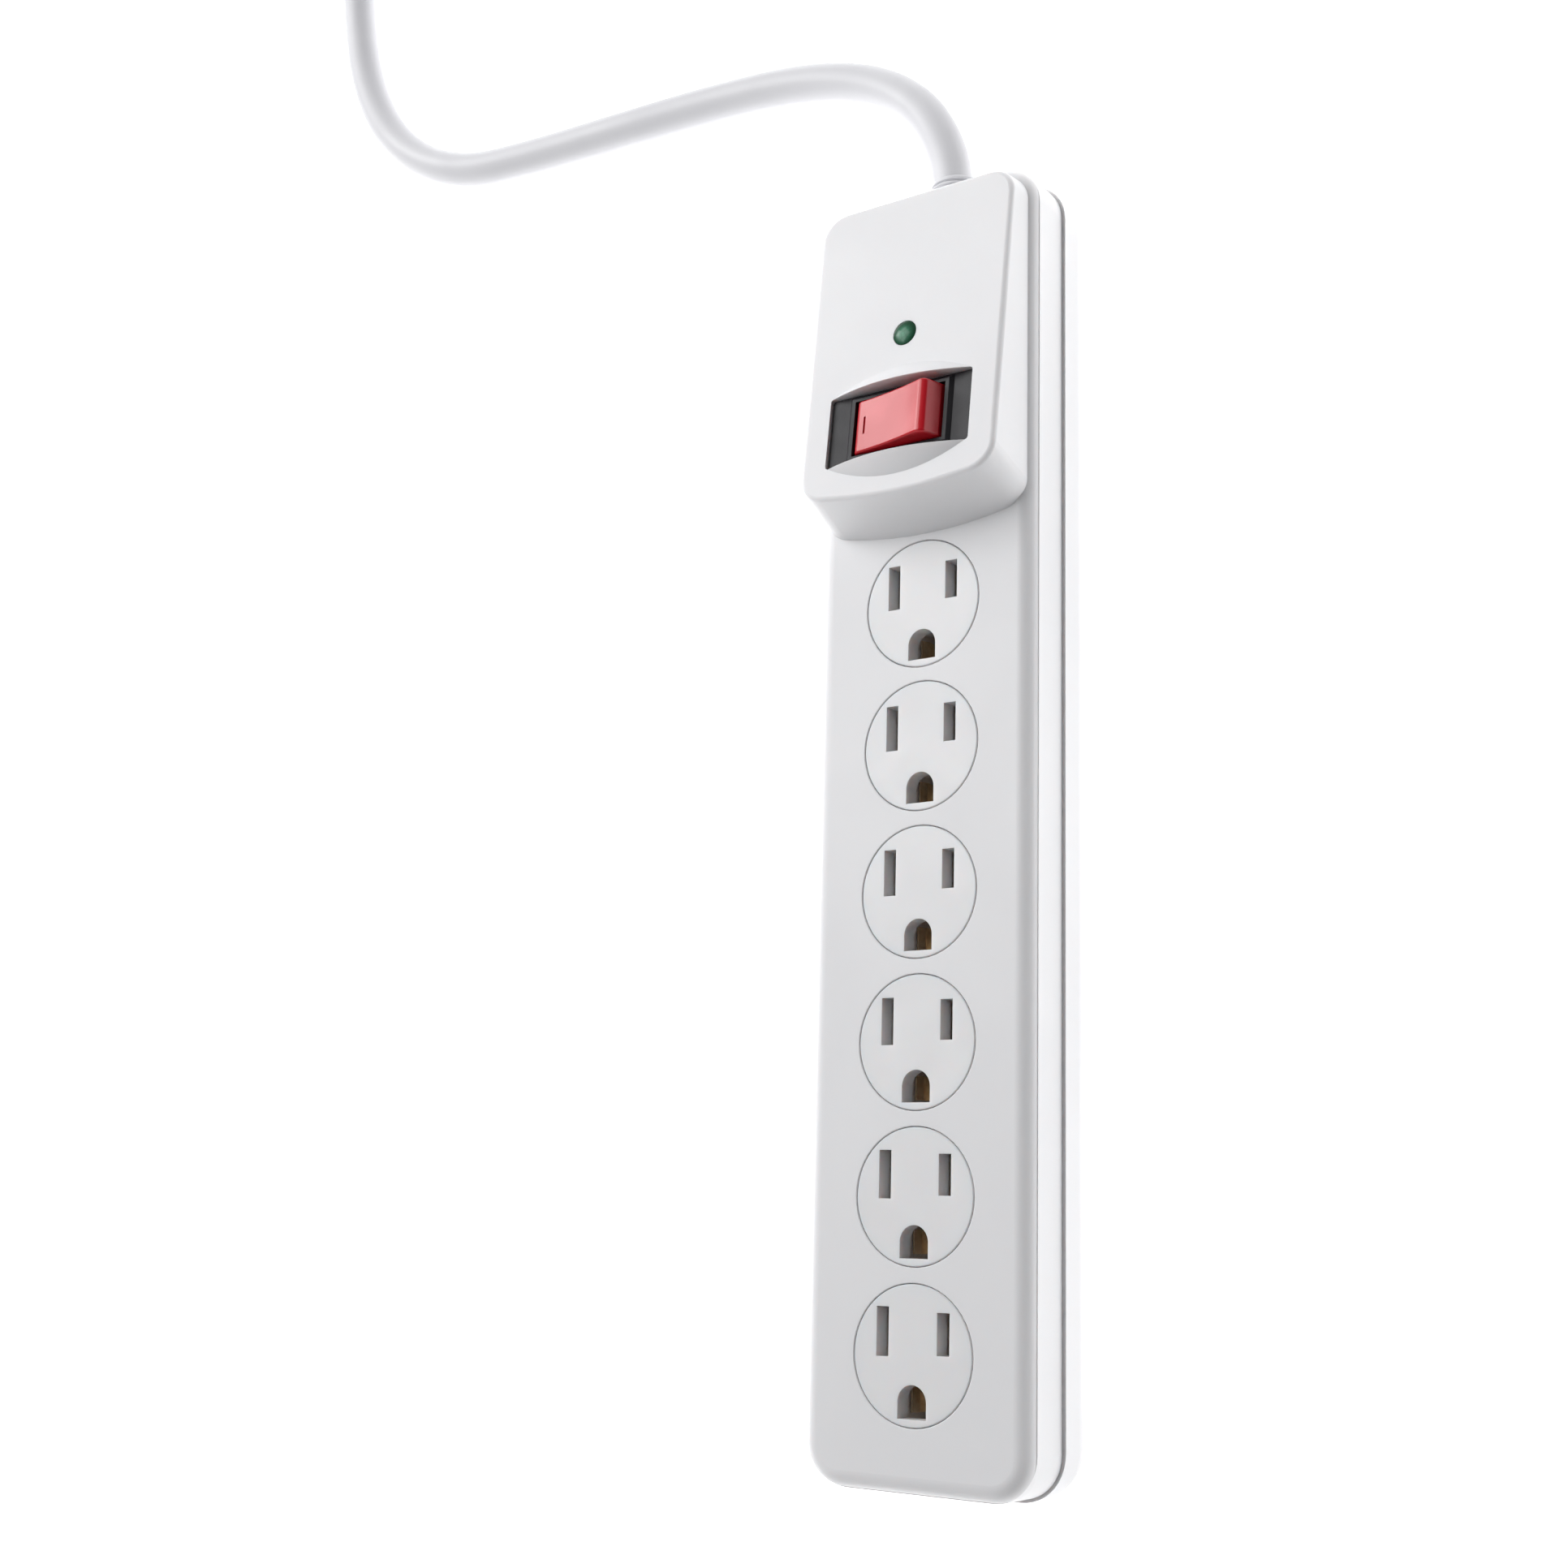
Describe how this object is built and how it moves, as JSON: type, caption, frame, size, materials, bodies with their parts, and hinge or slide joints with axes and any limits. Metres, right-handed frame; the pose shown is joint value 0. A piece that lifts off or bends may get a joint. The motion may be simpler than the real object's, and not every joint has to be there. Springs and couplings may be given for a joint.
{
  "type": "power strip",
  "caption": "Slim grounded power strip with a row of outlets, a raised pod with lamp and rocker switch, and a supply cord with plug.",
  "frame": {"origin": "under the middle of the case, on the surface that it rests on", "axes": "+Z out of the outlets, +Y along the case towards the cord, +X to the right seen from the front"},
  "size_m": [0.223, 0.4736, 0.0372],
  "materials": {
    "case_white": "satin moulded plastic",
    "outlet_white": "satin moulded plastic",
    "inner_plastic": "matte",
    "brass": "stamped, dull",
    "copper": "stamped",
    "switch_black": "fine matte",
    "rocker_red": "translucent gloss",
    "steel": "zinc plated",
    "lens_green": "clear gloss",
    "board_green": "satin",
    "varistor_blue": "dipped coating",
    "part_grey": "matte",
    "cord_vinyl": "satin vinyl",
    "tie_black": "matte",
    "lead_white": "satin vinyl",
    "lead_green": "satin vinyl",
    "lead_black": "satin vinyl"
  },
  "bodies": {
    "case": {"bottom_cover": "case_white", "contact_carrier": "inner_plastic", "cord": "cord_vinyl", "cord_coil": "cord_vinyl", "cord_tail": "cord_vinyl", "cord_tie": "tie_black", "cover_screws": "steel", "filter_capacitor": "part_grey", "ground_bus_bar": "brass", "ground_lead": "lead_green", "hot_bus_bar": "brass", "lamp_led": "lens_green", "lamp_lens": "lens_green", "lamp_terminal": "brass", "line_lead": "lead_black", "line_terminal": "brass", "load_lead": "lead_black", "load_terminal": "brass", "neutral_bus_bar": "brass", "neutral_lead": "lead_white", "outlet_face_1": "outlet_white", "outlet_face_2": "outlet_white", "outlet_face_3": "outlet_white", "outlet_face_4": "outlet_white", "outlet_face_5": "outlet_white", "outlet_face_6": "outlet_white", "plug_body": "cord_vinyl", "plug_ground_pin": "brass", "plug_hot_blade": "brass", "plug_neutral_blade": "brass", "strain_relief": "cord_vinyl", "surge_board": "board_green", "switch_housing": "switch_black", "thermal_fuse": "part_grey", "top_cover": "case_white", "varistor_1": "varistor_blue", "varistor_2": "varistor_blue", "varistor_3": "varistor_blue"},
    "rocker_key": {"rocker": "rocker_red", "rocker_plunger": "switch_black", "rocker_spring": "steel"},
    "switch_arm": {"contact_arm": "copper"}
  },
  "joints": [
    {"name": "rocker_tilt", "type": "hinge", "parent": "case", "child": "rocker_key", "pos_m": [0, 0.07197, 0.0302], "axis": [0, 0.9938, -0.1113], "range_deg": [0, 23]},
    {"name": "contact_arm_tilt", "type": "hinge", "parent": "case", "child": "switch_arm", "pos_m": [0, 0.07072, 0.01902], "axis": [0, 0.9938, -0.1113], "range_deg": [-11.5, 0]}
  ],
  "couplings": [
    {"joint": "contact_arm_tilt", "follows": "rocker_tilt", "ratio": -0.5}
  ]
}
